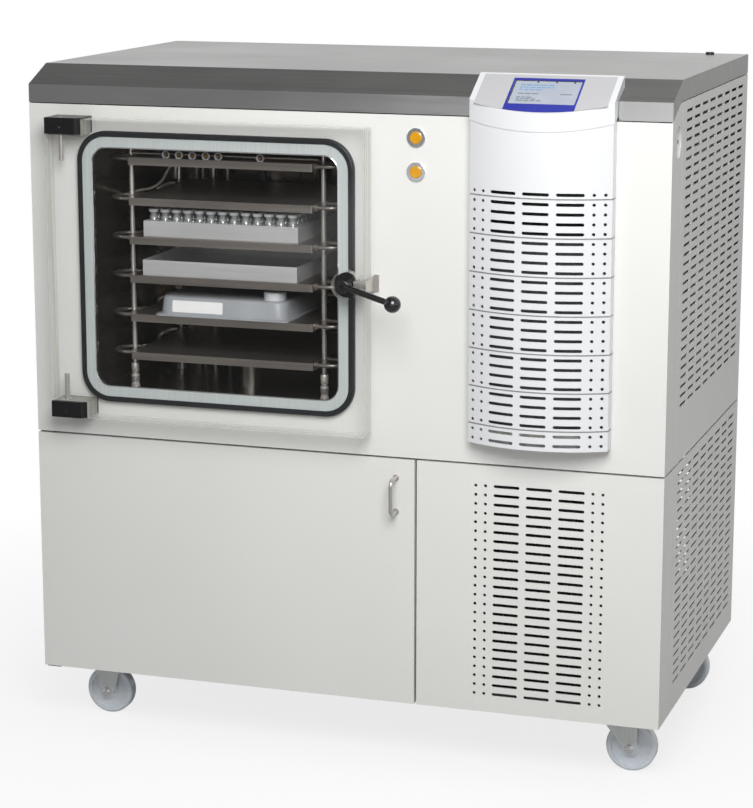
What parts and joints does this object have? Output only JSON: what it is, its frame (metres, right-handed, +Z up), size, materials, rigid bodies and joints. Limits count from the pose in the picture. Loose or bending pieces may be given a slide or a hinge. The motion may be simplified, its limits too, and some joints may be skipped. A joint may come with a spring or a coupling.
{
  "type": "laboratory freeze dryer",
  "caption": "Cabinet freeze dryer on castors: shelf chamber behind a clear hinged door with a lever latch, curved louvred tower with a sloped control head, service door below.",
  "frame": {"origin": "on the floor, below the middle of the overall box", "axes": "+Z up, -Y towards the front (door side), +X to the right seen from the front"},
  "size_m": [1.28, 0.881, 1.354],
  "materials": {
    "panel_paint": "satin",
    "tower_paint": "satin",
    "frame_steel": "satin",
    "cover_steel": "satin",
    "chamber_steel": "polished",
    "shelf_steel": "satin",
    "bright_steel": "satin",
    "zinc_plate": "satin",
    "chrome_trim": "polished",
    "clear_sheet": "polished",
    "vial_glass": "polished",
    "black_block": "matte",
    "black_metal": "gloss",
    "knob_plastic": "gloss",
    "seal_rubber": "matte",
    "amber_lens": "gloss",
    "display_glass": "gloss",
    "wheel_nylon": "satin",
    "tray_metal": "satin",
    "tray_plastic": "satin",
    "machine_iron": "satin",
    "coil_copper": "satin",
    "hose_rubber": "matte",
    "fan_plastic": "matte"
  },
  "bodies": {
    "cabinet": {"base_pan": "frame_steel", "corner_posts": "frame_steel", "mid_deck": "frame_steel", "partition": "frame_steel", "left_panel": "panel_paint", "right_panels": "panel_paint", "rear_panel": "panel_paint", "upper_front_panel": "panel_paint", "lower_front_panel": "panel_paint", "top_cover": "cover_steel", "tower_grille": "tower_paint", "control_head": "tower_paint", "display_module": "display_glass", "chamber_flange": "chamber_steel", "chamber_vessel": "chamber_steel", "chamber_seal": "seal_rubber", "ice_condenser": "chamber_steel", "condenser_coil": "coil_copper", "vacuum_pump": "machine_iron", "vacuum_hose": "hose_rubber", "compressor": "machine_iron", "heat_exchanger": "tray_metal", "electrical_box": "frame_steel", "fluid_manifolds": "bright_steel", "guide_rods": "bright_steel", "ram_cylinder": "bright_steel", "top_plate": "shelf_steel", "hinge_blocks": "black_block", "hinge_pins": "bright_steel", "latch_keeper": "bright_steel", "button_bezels": "chrome_trim", "pump_door_hinges": "frame_steel", "fixed_castor_housings": "zinc_plate", "swivel_castor_plates": "zinc_plate"},
    "chamber_door": {"door_plate": "clear_sheet"},
    "door_handle": {"handle_lever": "black_metal", "ball_knob": "knob_plastic", "latch_cam": "black_metal"},
    "service_door": {"pump_door": "panel_paint", "door_pull": "bright_steel"},
    "upper_button": {"button_upper": "amber_lens"},
    "lower_button": {"button_lower": "amber_lens"},
    "valve": {"vapour_valve": "chamber_steel"},
    "fan": {"fan_rotor": "fan_plastic"},
    "level_1": {"shelf_1": "shelf_steel"},
    "level_2": {"shelf_2": "shelf_steel", "vial_tray": "tray_metal", "vials": "vial_glass"},
    "level_3": {"shelf_3": "shelf_steel", "metal_tray": "tray_metal"},
    "level_4": {"shelf_4": "shelf_steel", "bulk_tray": "tray_plastic"},
    "level_5": {"shelf_5": "shelf_steel", "press_ram": "bright_steel"},
    "front_swivel": {"swivel_fork_front": "zinc_plate"},
    "rear_swivel": {"swivel_fork_rear": "zinc_plate"},
    "front_left_wheel": {"wheel_front_left": "wheel_nylon"},
    "rear_left_wheel": {"wheel_rear_left": "wheel_nylon"},
    "front_right_wheel": {"wheel_front_right": "wheel_nylon"},
    "rear_right_wheel": {"wheel_rear_right": "wheel_nylon"}
  },
  "joints": [
    {"name": "chamber_door_hinge", "type": "hinge", "parent": "cabinet", "child": "chamber_door", "pos_m": [-0.555, -0.3475, 0.958], "axis": [0, 0, -1], "range_deg": [0, 120]},
    {"name": "door_handle_turn", "type": "hinge", "parent": "chamber_door", "child": "door_handle", "pos_m": [0.0335, -0.3695, 0.9565], "axis": [0, 1, 0], "range_deg": [0, 75]},
    {"name": "service_door_hinge", "type": "hinge", "parent": "cabinet", "child": "service_door", "pos_m": [-0.628, -0.2985, 0.37], "axis": [0, 0, -1], "range_deg": [0, 110]},
    {"name": "upper_button_press", "type": "slide", "parent": "cabinet", "child": "upper_button", "axis": [0, 1, 0], "range_m": [0, 0.004], "stiffness_N_per_m": 400},
    {"name": "lower_button_press", "type": "slide", "parent": "cabinet", "child": "lower_button", "axis": [0, 1, 0], "range_m": [0, 0.004], "stiffness_N_per_m": 400},
    {"name": "valve_lift", "type": "slide", "parent": "cabinet", "child": "valve", "axis": [0, -1, 0], "range_m": [0, 0.03]},
    {"name": "fan_spin", "type": "hinge", "parent": "cabinet", "child": "fan", "pos_m": [0.4, -0.1695, 0.35], "axis": [0, 1, 0], "continuous": true},
    {"name": "level_5_lift", "type": "slide", "parent": "cabinet", "child": "level_5", "axis": [0, 0, 1], "range_m": [0, 0.025]},
    {"name": "level_4_lift", "type": "slide", "parent": "cabinet", "child": "level_4", "axis": [0, 0, 1], "range_m": [0, 0.02]},
    {"name": "level_3_lift", "type": "slide", "parent": "cabinet", "child": "level_3", "axis": [0, 0, 1], "range_m": [0, 0.015]},
    {"name": "level_2_lift", "type": "slide", "parent": "cabinet", "child": "level_2", "axis": [0, 0, 1], "range_m": [0, 0.01]},
    {"name": "level_1_lift", "type": "slide", "parent": "cabinet", "child": "level_1", "axis": [0, 0, 1], "range_m": [0, 0.005]},
    {"name": "front_swivel_turn", "type": "hinge", "parent": "cabinet", "child": "front_swivel", "pos_m": [0.53, -0.1975, 0.11], "axis": [0, 0, 1], "continuous": true},
    {"name": "rear_swivel_turn", "type": "hinge", "parent": "cabinet", "child": "rear_swivel", "pos_m": [0.53, 0.3285, 0.11], "axis": [0, 0, 1], "continuous": true},
    {"name": "front_left_roll", "type": "hinge", "parent": "cabinet", "child": "front_left_wheel", "pos_m": [-0.542, -0.1975, 0.05], "axis": [0, 1, 0], "continuous": true},
    {"name": "rear_left_roll", "type": "hinge", "parent": "cabinet", "child": "rear_left_wheel", "pos_m": [-0.542, 0.3285, 0.05], "axis": [0, 1, 0], "continuous": true},
    {"name": "front_right_roll", "type": "hinge", "parent": "front_swivel", "child": "front_right_wheel", "pos_m": [0.566, -0.1975, 0.05], "axis": [0, 1, 0], "continuous": true},
    {"name": "rear_right_roll", "type": "hinge", "parent": "rear_swivel", "child": "rear_right_wheel", "pos_m": [0.566, 0.3285, 0.05], "axis": [0, 1, 0], "continuous": true}
  ],
  "couplings": [
    {"joint": "level_4_lift", "follows": "level_5_lift", "ratio": 0.8},
    {"joint": "level_3_lift", "follows": "level_5_lift", "ratio": 0.6},
    {"joint": "level_2_lift", "follows": "level_5_lift", "ratio": 0.4},
    {"joint": "level_1_lift", "follows": "level_5_lift", "ratio": 0.2}
  ]
}
